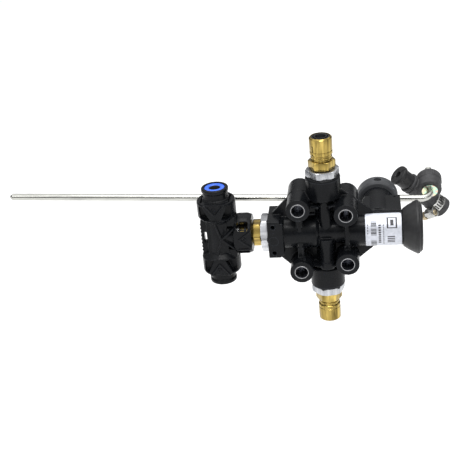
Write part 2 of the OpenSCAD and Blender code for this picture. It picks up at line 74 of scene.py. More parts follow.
def placed(origin, x_dir, y_dir, z_dir):
    """Matrix from local millimetres to metres in the row frame."""
    turn = Matrix((x_dir, y_dir, z_dir)).transposed()
    return Matrix.Translation(origin) @ (turn * MM).to_4x4()


def turned(base, axis, degrees, shift=(0, 0, 0)):
    """A local frame moved by shift millimetres, then turned about its own axis."""
    return base @ Matrix.Translation(shift) @ Matrix.Rotation(math.radians(degrees), 4, axis)


X, Y, Z = Vector((1, 0, 0)), Vector((0, 1, 0)), Vector((0, 0, 1))
PORT = centre("port_nut_top")
BODY = placed(Vector((PORT.x, PORT.y, 0)), X, Y, Z)
ALONG_X = BODY @ Matrix.Rotation(math.radians(90), 4, "Y")
TEE = placed(Vector(JOINTS["tee_swivel"]["pos_m"]), X, Y, Z)

ROD_DIR = Vector(JOINTS["rod_adjust"]["axis"]).normalized()
PIN_DIR = Vector(JOINTS["joint_swivel"]["axis"]).normalized()
PIN = placed(Vector(JOINTS["joint_swivel"]["pos_m"]), ROD_DIR, PIN_DIR.cross(ROD_DIR).normalized(), PIN_DIR)
MOUNTS = {m["name"]: m for m in frame["record"]["mounts"]}
# The rubber joint's cross tube has its origin abreast of the pin, this far from the link socket's point.
LINK_INSET = 9.5
LINK = MOUNTS["link_socket"]
TUBE_DIR = -Vector(LINK["axis"]).normalized()
TUBE = placed(Vector(LINK["pos_m"]) + LINK_INSET * MM * TUBE_DIR, TUBE_DIR,
              PIN_DIR.cross(TUBE_DIR), PIN_DIR)
SCREW_DIR = Vector(JOINTS["clamp_screw_turn"]["axis"]).normalized()
CLAMP = placed(Vector(JOINTS["clamp_screw_turn"]["pos_m"]), TUBE_DIR, SCREW_DIR, TUBE_DIR.cross(SCREW_DIR))
# The cross tube's frame with its length along Z, for turned shapes.
TUBE_Z = TUBE @ Matrix.Rotation(math.radians(90), 4, "Y")


# ---- Mesh tools ---------------------------------------------------------------

class Solid:
    """Closed shapes gathered in one mesh. Sizes are in millimetres in a local frame."""

    def __init__(self, place=BODY):
        self.bm = bmesh.new()
        self.place = place

    def points(self, coords, place):
        matrix = place or self.place
        return [self.bm.verts.new(matrix @ Vector(c)) for c in coords]

    def face(self, verts):
        if len(set(verts)) > 2:
            self.bm.faces.new(verts)

    def revolve(self, profile, place=None, steps=72):
        """Turns a closed outline of (radius, height) points about local Z."""
        rings = []
        for r, z in profile:
            if r < 1e-6:
                rings.append(self.points([(0, 0, z)], place) * steps)
            else:
                turn = [2 * math.pi * i / steps for i in range(steps)]
                rings.append(self.points([(r * math.cos(a), r * math.sin(a), z) for a in turn], place))
        for a, b in zip(rings, rings[1:] + rings[:1]):
            for i in range(steps):
                j = (i + 1) % steps
                corners = [a[i], a[j], b[j], b[i]]
                self.face(list(dict.fromkeys(corners)))
        return self

    def cylinder(self, r, z0, z1, place=None, steps=48):
        return self.revolve([(0, z0), (r, z0), (r, z1), (0, z1)], place, steps)

    def prism(self, outline, z0, z1, place=None):
        """Extrudes an outline of (x, y) points along local Z."""
        low = self.points([(x, y, z0) for x, y in outline], place)
        high = self.points([(x, y, z1) for x, y in outline], place)
        self.face(low[::-1])
        self.face(high)
        for i in range(len(outline)):
            j = (i + 1) % len(outline)
            self.face([low[i], low[j], high[j], high[i]])
        return self

    def box(self, low, high, place=None):
        (x0, y0, z0), (x1, y1, z1) = low, high
        return self.prism([(x0, y0), (x1, y0), (x1, y1), (x0, y1)], z0, z1, place)

    def wrap(self, rows, r0, r1, place=None):
        """A thin sheet on a cylinder about local X: rows of (degrees above the front, x0, x1)."""
        grid = []
        for degrees, x0, x1 in rows:
            a = math.radians(degrees)
            corners = [(x0, r0), (x1, r0), (x1, r1), (x0, r1)]
            grid.append(self.points([(x, -r * math.cos(a), r * math.sin(a)) for x, r in corners], place))
        for a, b in zip(grid, grid[1:]):
            for i in range(4):
                j = (i + 1) % 4
                self.face([a[i], a[j], b[j], b[i]])
        self.face(grid[0][::-1])
        self.face(grid[-1])
        return self

    def done(self, name):
        """The finished object, with outward normals."""
        bmesh.ops.recalc_face_normals(self.bm, faces=self.bm.faces)
        mesh = bpy.data.meshes.new(name)
        self.bm.to_mesh(mesh)
        self.bm.free()
        return linked(bpy.data.objects.new(name, mesh))


def linked(obj):
    bpy.context.scene.collection.objects.link(obj)
    return obj


def node_copy(node, name):
    """A new piece that starts from a CAD node's mesh."""
    source = frame["nodes"][node]
    obj = bpy.data.objects.new(name, source.data.copy())
    obj.matrix_world = source.matrix_world.copy()
    obj.data.transform(obj.matrix_world)
    obj.matrix_world = Matrix.Identity(4)
    obj.data.materials.clear()
    bm = bmesh.new()
    bm.from_mesh(obj.data)
    bmesh.ops.remove_doubles(bm, verts=bm.verts, dist=1e-6)
    bmesh.ops.recalc_face_normals(bm, faces=bm.faces)
    bm.to_mesh(obj.data)
    bm.free()
    if "custom_normal" in obj.data.attributes:
        obj.data.attributes.remove(obj.data.attributes["custom_normal"])
    return linked(obj)


def applied(obj):
    """Bakes an object's modifiers into its mesh."""
    graph = bpy.context.evaluated_depsgraph_get()
    mesh = bpy.data.meshes.new_from_object(obj.evaluated_get(graph))
    old = obj.data
    obj.modifiers.clear()
    obj.data = mesh
    bpy.data.meshes.remove(old)
    return obj


def joined(obj, *others):
    """Adds the meshes of other objects to obj and removes them."""
    bm = bmesh.new()
    bm.from_mesh(obj.data)
    for other in others:
        bm.from_mesh(other.data)
        bpy.data.objects.remove(other)
    bm.to_mesh(obj.data)
    bm.free()
    return obj


def cut(obj, cutter):
    """Takes the cutter's shapes out of obj."""
    mod = obj.modifiers.new("cut", "BOOLEAN")
    mod.operation = "DIFFERENCE"
    mod.solver = "MANIFOLD"
    mod.object = cutter
    applied(obj)
    bpy.data.objects.remove(cutter)
    return obj


def voxels(obj, size):
    """Merges all the shapes in obj into one skin of voxels of that size, in millimetres."""
    mod = obj.modifiers.new("skin", "REMESH")
    mod.mode = "VOXEL"
    mod.voxel_size = size * MM
    mod.adaptivity = 0
    return applied(obj)


def softened(obj, passes, keep):
    """Rounds a moulded part's edges, then thins its mesh to a share of its faces."""
    mod = obj.modifiers.new("round", "SMOOTH")
    mod.factor = 0.5
    mod.iterations = passes
    thin = obj.modifiers.new("thin", "DECIMATE")
    thin.ratio = keep
    return applied(obj)


def moulded(obj, size, passes=5, keep=0.35):
    """Turns sharp-edged shapes into one moulding with small radii."""
    return shaded(softened(voxels(obj, size), passes, keep), 60)


def shaded(obj, degrees=35):
    """Smooth shading that stays crisp over edges sharper than the angle."""
    obj.data.shade_smooth()
    bm = bmesh.new()
    bm.from_mesh(obj.data)
    for edge in bm.edges:
        if len(edge.link_faces) == 2:
            edge.smooth = edge.calc_face_angle(0) < math.radians(degrees)
    bm.to_mesh(obj.data)
    bm.free()
    return obj


def bevelled(obj, width, segments=2, degrees=28):
    """Breaks the sharp edges of a machined part."""
    bm = bmesh.new()
    bm.from_mesh(obj.data)
    bmesh.ops.dissolve_limit(bm, angle_limit=math.radians(1), verts=bm.verts, edges=bm.edges)
    bm.to_mesh(obj.data)
    bm.free()
    mod = obj.modifiers.new("edge", "BEVEL")
    mod.width = width * MM
    mod.segments = segments
    mod.limit_method = "ANGLE"
    mod.angle_limit = math.radians(degrees)
    return shaded(applied(obj), 35)


def curve_through(points, steps=6):
    """A smooth outline through (radius, height) points."""
    result = []
    for i in range(len(points) - 1):
        before = points[max(i - 1, 0)]
        a, b = points[i], points[i + 1]
        after = points[min(i + 2, len(points) - 1)]
        for k in range(steps):
            t = k / steps
            result.append(tuple(
                0.5 * (2 * a[c] + (b[c] - before[c]) * t
                       + (2 * before[c] - 5 * a[c] + 4 * b[c] - after[c]) * t ** 2
                       + (3 * a[c] - before[c] - 3 * b[c] + after[c]) * t ** 3)
                for c in (0, 1)))
    return result + [points[-1]]


# ---- Materials ----------------------------------------------------------------

class Finish:
    """Builds one procedural material. Texture coordinates are millimetres in the row frame."""

    def __init__(self, name, **sockets):
        self.material = bpy.data.materials.new(name)
        self.material.use_nodes = True
        self.tree = self.material.node_tree
        self.bsdf = self.tree.nodes["Principled BSDF"]
        for socket, value in sockets.items():
            self.bsdf.inputs[socket.replace("_", " ")].default_value = value
        coords = self.add("ShaderNodeTexCoord")
        scale = self.add("ShaderNodeVectorMath", operation="SCALE")
        scale.inputs["Scale"].default_value = 1 / MM
        self.link(coords.outputs["Object"], scale.inputs[0])
        self.mm = scale.outputs["Vector"]

    def add(self, kind, **settings):
        node = self.tree.nodes.new(kind)
        for key, value in settings.items():
            setattr(node, key, value)
        return node

    def link(self, source, target):
        self.tree.links.new(source, target)

    def stretched(self, factors):
        node = self.add("ShaderNodeVectorMath", operation="MULTIPLY")
        node.inputs[1].default_value = factors
        self.link(self.mm, node.inputs[0])
        return node.outputs["Vector"]

    def noise(self, scale, detail=3, rough=0.5, stretch=None):
        """Noise with features about 1 / scale millimetres across."""
        node = self.add("ShaderNodeTexNoise")
        node.inputs["Scale"].default_value = scale
        node.inputs["Detail"].default_value = detail
        node.inputs["Roughness"].default_value = rough
        self.link(self.stretched(stretch) if stretch else self.mm, node.inputs["Vector"])
        return node.outputs["Fac"]

    def grooves(self, axis, pitch, wobble=0.6):
        """Fine turning marks: bands across one axis."""
        node = self.add("ShaderNodeTexWave", wave_type="BANDS", bands_direction=axis)
        node.inputs["Scale"].default_value = 0.314 / pitch
        node.inputs["Distortion"].default_value = wobble
        node.inputs["Detail"].default_value = 3
        self.link(self.mm, node.inputs["Vector"])
        return node.outputs["Fac"]

    def spread(self, fac, low, high):
        """Maps a 0 to 1 value onto a range."""
        node = self.add("ShaderNodeMapRange")
        node.inputs["From Min"].default_value = 0.3
        node.inputs["From Max"].default_value = 0.7
        node.inputs["To Min"].default_value = low
        node.inputs["To Max"].default_value = high
        self.link(fac, node.inputs["Value"])
        return node.outputs["Result"]

    def blend(self, fac, *stops):
        """Colour ramp over evenly spaced colours."""
        node = self.add("ShaderNodeValToRGB")
        ramp = node.color_ramp
        while len(ramp.elements) < len(stops):
            ramp.elements.new(0.5)
        for i, (element, colour) in enumerate(zip(ramp.elements, stops)):
            element.position = 0.3 + 0.4 * i / (len(stops) - 1)
            element.color = (*colour, 1)
        self.link(fac, node.inputs["Fac"])
        return node.outputs["Color"]

    def edge_wear_and_highlight(self, colour, wear_and_highlight_colour, amount=0.5):
        """Lightens the exposed edges of the mesh, as rubbed wear and as a painted highlight along them."""
        edge = self.add("ShaderNodeNewGeometry").outputs["Pointiness"]
        mask = self.add("ShaderNodeMapRange")
        mask.inputs["From Min"].default_value = 0.52
        mask.inputs["From Max"].default_value = 0.60
        mask.inputs["To Max"].default_value = amount
        self.link(edge, mask.inputs["Value"])
        mix = self.add("ShaderNodeMix", data_type="RGBA")
        self.link(mask.outputs["Result"], mix.inputs["Factor"])
        self.link(colour, mix.inputs["A"])
        mix.inputs["B"].default_value = (*wear_and_highlight_colour, 1)
        return mix.outputs["Result"]

    def colour(self, source):
        self.link(source, self.bsdf.inputs["Base Color"])
        return self

    def roughness(self, source):
        self.link(source, self.bsdf.inputs["Roughness"])
        return self

    def bump(self, *layers):
        """Stacks bump layers of (height, depth in millimetres)."""
        normal = None
        for height, depth in layers:
            node = self.add("ShaderNodeBump")
            node.inputs["Strength"].default_value = 1
            node.inputs["Distance"].default_value = depth * MM
            self.link(height, node.inputs["Height"])
            if normal:
                self.link(normal, node.inputs["Normal"])
            normal = node.outputs["Normal"]
        self.link(normal, self.bsdf.inputs["Normal"])
        return self


def nylon(name, dark, light, rough=(0.42, 0.56), grain=0.012):
    """Moulded, glass-filled plastic: a fine grain, faint flow marks, and edges lightened partly as scuffs and
    partly as a painted highlight.
    """
    f = Finish(name, Specular_IOR_Level=0.13)
    cloud = f.noise(0.12, 4, 0.6)
    # Edge colour at five times the light tone: a painted highlight along the ridges, with some scuffing.
    f.colour(f.edge_wear_and_highlight(f.blend(cloud, dark, light), tuple(c * 5 for c in light), 0.5))
    f.roughness(f.spread(f.noise(0.5, 5, 0.7), *rough))
    return f.bump((f.noise(3.5, 3, 0.6), grain), (f.noise(0.4, 2, 0.5, (1, 1, 0.25)), grain * 2)).material


def rubber(name, dark, light, rough=(0.5, 0.68)):
    """Moulded rubber: satin, with dusty patches."""
    f = Finish(name, Specular_IOR_Level=0.3)
    f.colour(f.edge_wear_and_highlight(f.blend(f.noise(0.25, 5, 0.65), dark, light), tuple(c * 1.8 for c in light), 0.3))
    f.roughness(f.spread(f.noise(0.8, 4, 0.6), *rough))
    return f.bump((f.noise(5, 2, 0.5), 0.008), (f.noise(0.6, 3, 0.5), 0.02)).material


def turned_metal(name, axis, dark, light, rough, pitch=0.22, depth=0.004):
    """Metal off a lathe or bar machine: fine marks round the axis, and dark and light streaks along it that are
    painted reflection.
    """
    f = Finish(name, Metallic=1.0)
    along = {"X": (0.12, 1, 1), "Y": (1, 0.12, 1), "Z": (1, 1, 0.12)}[axis]
    # Painted reflection: the base colour runs from dark to light in streaks along the axis, as a reflected room
    # would.
    f.colour(f.blend(f.noise(0.24, 4, 0.55, along), dark,
                     tuple(d * 0.6 + l * 0.4 for d, l in zip(dark, light)), light))
    f.roughness(f.spread(f.noise(0.5, 4, 0.7, along), *rough))
    return f.bump((f.grooves(axis, pitch), depth), (f.noise(2.0, 3, 0.6), depth * 0.8)).material


def drawn_metal(name, stretch, dark, light, rough, depth=0.003):
    """Drawn or pressed metal: streaks along the working direction and fine pits."""
    f = Finish(name, Metallic=1.0)
    f.colour(f.blend(f.noise(0.6, 5, 0.6, stretch), dark, light))
    f.roughness(f.spread(f.noise(1.5, 4, 0.7, stretch), *rough))
    return f.bump((f.noise(3, 3, 0.6, stretch), depth), (f.noise(0.7, 3, 0.5), depth * 2)).material


def rolled_sleeve():
    """Plain steel end faces, and a bore whose steel colour is darkened away from its ends as painted shade."""
    f = Finish("sleeve_steel", Metallic=1.0)
    split = f.add("ShaderNodeSeparateXYZ")
    f.link(f.mm, split.inputs["Vector"])
    middle = f.add("ShaderNodeMath", operation="COMPARE")
    f.link(split.outputs["Y"], middle.inputs[0])
    # The sleeve's length along Y in the row frame, less its two steel ends; along it the bore gets painted shade.
    middle.inputs[1].default_value = 21.9
    middle.inputs[2].default_value = 21.7
    mix = f.add("ShaderNodeMix", data_type="RGBA")
    f.link(middle.outputs["Value"], mix.inputs["Factor"])
    f.link(f.blend(f.noise(0.8, 4, 0.6), (0.30, 0.30, 0.31), (0.46, 0.46, 0.46)), mix.inputs["A"])
    # Painted shade: a darker steel colour for the inside of the bore.
    f.link(f.blend(f.noise(0.5, 4, 0.6, (1, 0.15, 1)), (0.17, 0.18, 0.205), (0.27, 0.28, 0.31)),
           mix.inputs["B"])
    f.colour(mix.outputs["Result"])
    f.roughness(f.spread(f.noise(1.5, 4, 0.7, (1, 0.15, 1)), 0.24, 0.38))
    return f.bump((f.noise(3, 3, 0.6, (1, 0.15, 1)), 0.003)).material


def passivated():
    """Yellow zinc with its rainbow film."""
    f = Finish("yellow_zinc", Metallic=1.0)
    f.colour(f.blend(f.noise(0.22, 2, 0.4), (0.80, 0.66, 0.34), (0.86, 0.60, 0.50), (0.46, 0.78, 0.66),
                     (0.84, 0.78, 0.46), (0.78, 0.62, 0.74)))
    f.roughness(f.spread(f.noise(1.5, 4, 0.7), 0.16, 0.3))
    return f.bump((f.noise(4, 2, 0.5), 0.003)).material


def film():
    """Silvery printed-label film."""
    f = Finish("label_film", Metallic=0.25)
    f.colour(f.blend(f.noise(0.4, 4, 0.6), (0.50, 0.52, 0.58), (0.66, 0.68, 0.74)))
    f.roughness(f.spread(f.noise(2, 4, 0.6), 0.32, 0.42))
    return f.bump((f.noise(0.3, 2, 0.4), 0.02), (f.noise(6, 2, 0.5), 0.002)).material


def sintered():
    f = Finish("sintered_bronze", Metallic=1.0)
    f.colour(f.blend(f.noise(2.5, 3, 0.6), (0.30, 0.23, 0.13), (0.62, 0.50, 0.30)))
    f.roughness(f.spread(f.noise(3, 3, 0.6), 0.5, 0.75))
    return f.bump((f.noise(3, 2, 0.6), 0.08)).material


def ink():
    f = Finish("label_ink", Specular_IOR_Level=0.4)
    f.colour(f.blend(f.noise(3, 3, 0.6), (0.020, 0.020, 0.024), (0.055, 0.055, 0.060)))
    f.roughness(f.spread(f.noise(4, 3, 0.6), 0.35, 0.5))
    return f.bump((f.noise(5, 2, 0.5), 0.002)).material


def acetal(name, dark, light):
    """Smooth moulded plastic that scatters a little light."""
    f = Finish(name, Specular_IOR_Level=0.5, Subsurface_Weight=0.08, Subsurface_Scale=0.002)
    f.colour(f.edge_wear_and_highlight(f.blend(f.noise(0.5, 3, 0.5), dark, light), tuple(min(1, c * 1.5 + 0.02) for c in light),
                    0.4))
    f.roughness(f.spread(f.noise(1.0, 4, 0.6), 0.26, 0.4))
    return f.bump((f.noise(4, 2, 0.5), 0.004)).material


FINISHES = {
    "black_nylon": nylon("black_nylon", (0.0034, 0.0039, 0.0048), (0.0066, 0.0073, 0.0088), (0.20, 0.34)),
    "collet_plastic": nylon("collet_plastic", (0.006, 0.006, 0.007), (0.013, 0.013, 0.014), (0.3, 0.42),
                            0.005),
    "sleeve_steel": rolled_sleeve(),
    # Nut and brass colours span dark to light widely, painting reflected streaks into the metal.
    "nut_aluminium": turned_metal("nut_aluminium", "Z", (0.30, 0.31, 0.33), (0.60, 0.61, 0.63), (0.22, 0.36),
                                  0.3),
    "brass": turned_metal("brass", "Z", (0.11, 0.077, 0.022), (0.68, 0.50, 0.14), (0.10, 0.24)),
    "sintered_filter": sintered(),
    "white_acetal": acetal("white_acetal", (0.70, 0.69, 0.65), (0.82, 0.81, 0.78)),
    "spring_steel": drawn_metal("spring_steel", (1, 1, 0.3), (0.50, 0.50, 0.51), (0.72, 0.72, 0.72),
                                (0.22, 0.36)),
    "spool_aluminium": turned_metal("spool_aluminium", "X", (0.62, 0.63, 0.64), (0.76, 0.77, 0.78),
                                    (0.2, 0.32)),
    "zinc_steel": drawn_metal("zinc_steel", (0.08, 1, 1), (0.40, 0.40, 0.38), (0.58, 0.58, 0.54),
                              (0.16, 0.28)),
    "bush_bronze": sintered(),
    "yellow_zinc": passivated(),
    "joint_rubber": rubber("joint_rubber", (0.030, 0.030, 0.0315), (0.058, 0.058, 0.061)),
    "boot_rubber": rubber("boot_rubber", (0.010, 0.0102, 0.011), (0.019, 0.0195, 0.021), (0.36, 0.5)),
    "bush_rubber": rubber("bush_rubber", (0.014, 0.014, 0.0147), (0.026, 0.026, 0.0275), (0.36, 0.48)),
    "seal_rubber": rubber("seal_rubber", (0.008, 0.008, 0.008), (0.016, 0.016, 0.016), (0.25, 0.4)),
    "clamp_stainless": drawn_metal("clamp_stainless", (1, 1, 1), (0.30, 0.30, 0.29), (0.62, 0.62, 0.60),
                                   (0.14, 0.26)),
    "clamp_screw_zinc": drawn_metal("clamp_screw_zinc", (1, 1, 1), (0.34, 0.27, 0.17), (0.62, 0.53, 0.36),
                                    (0.2, 0.34)),
    "label_film": film(),
    "blue_acetal": acetal("blue_acetal", (0.020, 0.085, 0.56), (0.045, 0.15, 0.80)),
}
# Bar-stock brass and nut: their wide dark-to-light range paints reflected streaks along the axis.
BRASS_X = turned_metal("brass_bar", "X", (0.20, 0.14, 0.04), (0.66, 0.48, 0.14), (0.12, 0.26))
NUT_X = turned_metal("nut_aluminium_bar", "X", (0.42, 0.43, 0.46), (0.76, 0.77, 0.79), (0.26, 0.4), 0.3)
INK = ink()
HUB_PLASTIC = nylon("hub_plastic", (0.046, 0.048, 0.052), (0.074, 0.077, 0.082), (0.3, 0.42))

NODE_SLOT = {s["node"]: s["material_slot"] for s in frame["record"]["subparts"]}
NODE_BODY = {n: b for b, nodes in frame["record"]["behaviour"]["bodies"].items() for n in nodes}


def dressed(piece, *nodes, material=None):
    """Gives a new piece the body, slot and finish of the CAD nodes that it stands for."""
    slot = NODE_SLOT[nodes[0]]
    piece.data.materials.clear()
    piece.data.materials.append(material or FINISHES[slot])
    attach(piece, NODE_BODY[nodes[0]])
    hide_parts(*nodes)
    return piece


def trim(piece, body, slot, material=None):
    """A piece of visible detail that no CAD node stands for."""
    piece.data.materials.clear()
    piece.data.materials.append(material or FINISHES[slot])
    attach(piece, body)
    return piece


# ---- Housing ------------------------------------------------------------------

BOSSES = [(-20.1, 27.5), (-20.1, -27.5), (17.4, 21.7), (17.4, -21.7)]


def boss_place(x, z):
    """Frame of one boss, with Z pointing back along it."""
    return turned(BODY, "X", -90, (x, 0, z))


def housing():
    """The body moulding: the CAD shape, its ledges and ribs, softened as moulded plastic is."""
    extra = Solid()
    for x, z in BOSSES:
        extra.revolve([(7, 0), (9.8, 0), (9.8, 22.75), (7, 22.75)], boss_place(x, z))
    # Parting ledge round the inlet flange.
    extra.box((-46.4, 0.2, -16), (-36, 1.0, 16.3))
    for up in (1, -1):
        # Ledges round the foot of each port barrel, on both sides of its neck.
        for side in (-1, 1):
            arc = [math.radians(a) for a in (16, 24, 34, 46, 58, 68)]
            outer = [(side * 15.4 * math.sin(a), -15.4 * math.cos(a)) for a in arc]
            inner = [(side * 9.5 * math.sin(a), -9.5 * math.cos(a)) for a in reversed(arc)]
            extra.prism(outer + inner, up * 26.4 - 0.8, up * 26.4 + 0.8)
            extra.box((side * 12 - 4, -8, up * 27.5 - 1.1), (side * 12 + 4, 0, up * 27.5 + 1.1))
    # Rails beside the shaft housing.
    extra.box((25.2, 6, -12.5), (26.4, 27, 13.6))
    extra.box((30.4, 5, -13.5), (31.8, 27.5, 14))
    # Stiffening ribs with a slot between them, above and below the spool housing.
    for x, up in ((-20.1, 1), (-20.1, -1), (17.4, 1), (17.4, -1)):
        for side in (-1, 1):
            extra.box((x + side * 1.9 - 0.5, -13.6, up * 9), (x + side * 1.9 + 0.5, -4, up * 19))
    # Rib with a nub on the lower left boss, and small ledges on the front.
    extra.box((-20.9, -15.5, -22), (-19.3, -4, -17.6))
    extra.cylinder(1.0, -17, -3, turned(BODY, "X", -90, (-17.2, 0, -17.9)), 20)
    extra.box((-12.5, -10.5, 18.6), (-7.5, -6, 19.8))
    piece = joined(node_copy("body_housing", "housing_moulding"), extra.done("housing_extra"))
    moulded(piece, 0.42, 3, 0.3)
    fine = Solid()
    for z in (11.5, -11.5):
        fine.revolve([(1.75, 16.0), (1.95, 16.45), (2.3, 16.45), (2.6, 16.0), (2.6, 14), (1.75, 14)],
                     turned(BODY, "X", 90, (-41.3, 0, z)), 32)
    fine.cylinder(0.5, 14, 16.25, turned(BODY, "X", 90, (-41.3, 0, 6.2)), 16)
    fine.revolve([(3.7, 14), (3.7, 16.15), (4.1, 16.15), (4.1, 14)], turned(BODY, "X", 90, (-41.3, 0, -1)),
                 40)
    for x, z in BOSSES:
        # Plastic round each steel sleeve.
        fine.revolve([(5.68, -20.9), (6.6, -20.9), (6.6, 22.6), (5.68, 22.6)], boss_place(x, z))
    for up in (1, -1):
        # Raised line under the end of each port barrel.
        fine.revolve([(13.5, up * 46.6), (14.12, up * 46.6), (14.12, up * 47.1), (13.5, up * 47.1)], None,
                     96)
    joined(piece, fine.done("housing_fine"))
    recess = Solid()
    for z in (11.5, -11.5):
        recess.cylinder(1.75, 11, 18, turned(BODY, "X", 90, (-41.3, 0, z)), 32)
    cut(piece, recess.done("housing_recess"))
    return dressed(shaded(piece, 45), "body_housing")


def sleeves():
    """Rolled steel sleeves, each with its split seam."""
    seam = {BOSSES[0]: 270, BOSSES[1]: 97, BOSSES[2]: 92, BOSSES[3]: 215}
    solid = Solid()
    for x, z in BOSSES:
        place = turned(boss_place(x, z), "Z", -seam[(x, z)])
        gap = 1.2
        steps = 90
        profile = [(5.1, -20.9), (5.2, -21.05), (5.55, -21.05), (5.66, -20.9),
                   (5.66, 22.6), (5.55, 22.75), (5.2, 22.75), (5.1, 22.6)]
        rings = []
        for i in range(steps + 1):
            a = math.radians(gap + (360 - 2 * gap) * i / steps)
            rings.append(solid.points([(r * math.cos(a), r * math.sin(a), h) for r, h in profile], place))
        for a, b in zip(rings, rings[1:]):
            for k in range(len(profile)):
                j = (k + 1) % len(profile)
                solid.face([a[k], a[j], b[j], b[k]])
        solid.face(rings[0][::-1])
        solid.face(rings[-1])
    return dressed(shaded(solid.done("rolled_sleeves")), "mounting_sleeves")


def label():
    """Film with rounded corners, and a generic print of bars on it."""
    left, right, top, corner = 32.3, 60.9, 83, 1.6
    radius = 14
    corner_deg = math.degrees(corner / radius)
    rows = []
    for i in range(61):
        a = -top + 2 * top * i / 60
        inset = max(0, abs(a) - (top - corner_deg)) / corner_deg
        pull = corner * (1 - math.sqrt(max(0, 1 - inset ** 2)))
        rows.append((a, left + pull, right - pull))
    film_piece = Solid().wrap(rows, radius, radius + 0.13).done("label_sheet")
    dressed(shaded(film_piece), "data_label")

    print_solid = Solid()

    def bar(x0, x1, a0, a1):
        steps = max(2, int(abs(a1 - a0) / 3))
        print_solid.wrap([(a0 + (a1 - a0) * i / steps, x0, x1) for i in range(steps + 1)], radius + 0.1,
                         radius + 0.15)

    # Two blocks of bars along the left edge, the bars running along X.
    widths = [1, 2, 1, 1, 3, 1, 2, 1, 1, 2, 3, 1, 1, 2, 1, 3, 1, 1, 2, 1, 2, 1, 3, 1, 1, 2, 1]
    for start, unit in ((-70, 1.25), (2, 1.1)):
        a = start
        for i, w in enumerate(widths):
            if i % 2 == 0:
                bar(36.6, 41.0, a, a + w * unit)
            a += w * unit
    # Columns of blocks and dashes.
    for x0, thick, count, length, gap in ((33.8, 0.6, 4, 6, 3), (42.6, 1.9, 9, 5.2, 2.6),
                                          (46.3, 0.7, 12, 4, 2.4)):
        for k in range(count):
            start = 46 - x0 * 0.2 - k * (length + gap)
            bar(x0, x0 + thick, start - length, start)
    # Generic mark: a framed square with a block in it, and a row of bars below it.
    for x0, x1, a0, a1 in [(49.2, 57.4, 24, 27), (49.2, 57.4, 59, 62), (49.2, 50.4, 24, 62),
                           (56.2, 57.4, 24, 62), (52.0, 54.6, 33, 53)]:
        bar(x0, x1, a0, a1)
    for k in range(4):
        bar(49.6, 55.4, -6 - k * 7.5, -2 - k * 7.5)
    trim(print_solid.done("label_print"), "valve_body", "label_film", INK)


# ---- Supply tee ---------------------------------------------------------------

def outlet_place(up):
    """Frame of one tee outlet, with Z out of its mouth."""
    return TEE @ Matrix.Diagonal((1, 1, up, 1))


def outlet_shapes(solid, up):
    place = outlet_place(up)
    # Neck with its lip, and the shoulder that it stands on.
    solid.revolve([(6, 10), (10.4, 10), (10.4, 31), (11.3, 31.3), (11.3, 33), (10.2, 33.8), (10.2, 38.6),
                   (11.1, 39.5), (11.1, 41.8), (10.6, 42.4), (6, 42.4)], place)
    # Cage shell, closed towards the middle by a cone.
    solid.revolve([(9, 13), (11.4, 13.6), (14.4, 16.6), (15.9, 18.4), (15.9, 30.6), (15.2, 32), (9, 32)],
                  place)


def outlet_cuts(solid, up):
    place = outlet_place(up)
    for front in (1, -1):
        flat = turned(turned(place, "Z", 0 if front == 1 else 180), "X", 90)
        solid.prism([(-20, 17.4), (20, 17.4), (20, 36), (-20, 36)], 13.2, 22, flat)
        for side in (-1, 1):
            window = [(side * 4.4, 18.6), (side * 8.4, 17.6), (side * 12.6, 19.6), (side * 13.4, 29.4),
                      (side * 9.9, 30.2)]
            solid.prism(window, 6.2, 13.1, flat)
            solid.prism([(side * 9.2, 18.4), (side * 13.2, 20), (side * 13.4, 29.4), (side * 9.9, 30)],
                        13.15, 22, flat)
    for side in (-1, 1):
        solid.box((min(side * 10.7, side * 12.1), -8, 29.4), (max(side * 10.7, side * 12.1), 8, 36), place)


def outlet_details(solid, up):
    """Raised V with its two dots, on the front and back of one outlet."""
    place = outlet_place(up)
    for front in (1, -1):
        flat = turned(turned(place, "Z", 0 if front == 1 else 180), "X", 90)
        for side in (-1, 1):
            solid.prism([(side * 8.6, 32), (side * 7.4, 32), (side * -0.6, 22.4), (0, 21.2),
                         (side * 0.9, 21.8)],
                        12.6, 14.3, flat)
        solid.box((-8.6, 31.0, 12.4), (8.6, 32.2, 13.9), flat)
        solid.revolve([(0.9, 12.8), (0.9, 14.0), (1.6, 14.0), (1.6, 12.8)],
                      turned(flat, "Z", 0, (-0.6, 27.2, 0)), 28)
        solid.cylinder(0.9, 11, 13.4, turned(flat, "Z", 0, (0, 18.6, 0)), 20)


def branch_shapes(solid):
    along = turned(TEE, "Y", 90)
    solid.revolve([(0, -2), (10, -2), (10.4, 8), (11, 12.6), (14, 13.4), (16.5, 15.4), (16.75, 17),
                   (16.75, 24.4), (15.5, 27.9), (0, 27.9)], along)


def branch_cuts(solid):
    for front in (1, -1):
        flat = turned(turned(TEE, "X", 0 if front == 1 else 180), "X", 90)
        solid.prism([(12.4, -20), (40, -20), (40, 20), (12.4, 20)], 13.3, 22, flat)
    for quarter in (45, 135, 225, 315):
        flat = turned(turned(TEE, "X", quarter), "X", 90)
        solid.prism([(15.6, -2.4), (17.0, -3.8), (24.6, -3.8), (25.4, -3.0), (25.4, 3.0), (24.6, 3.8),
                     (17.0, 3.8), (15.6, 2.4)],
                    7.0, 22, flat)


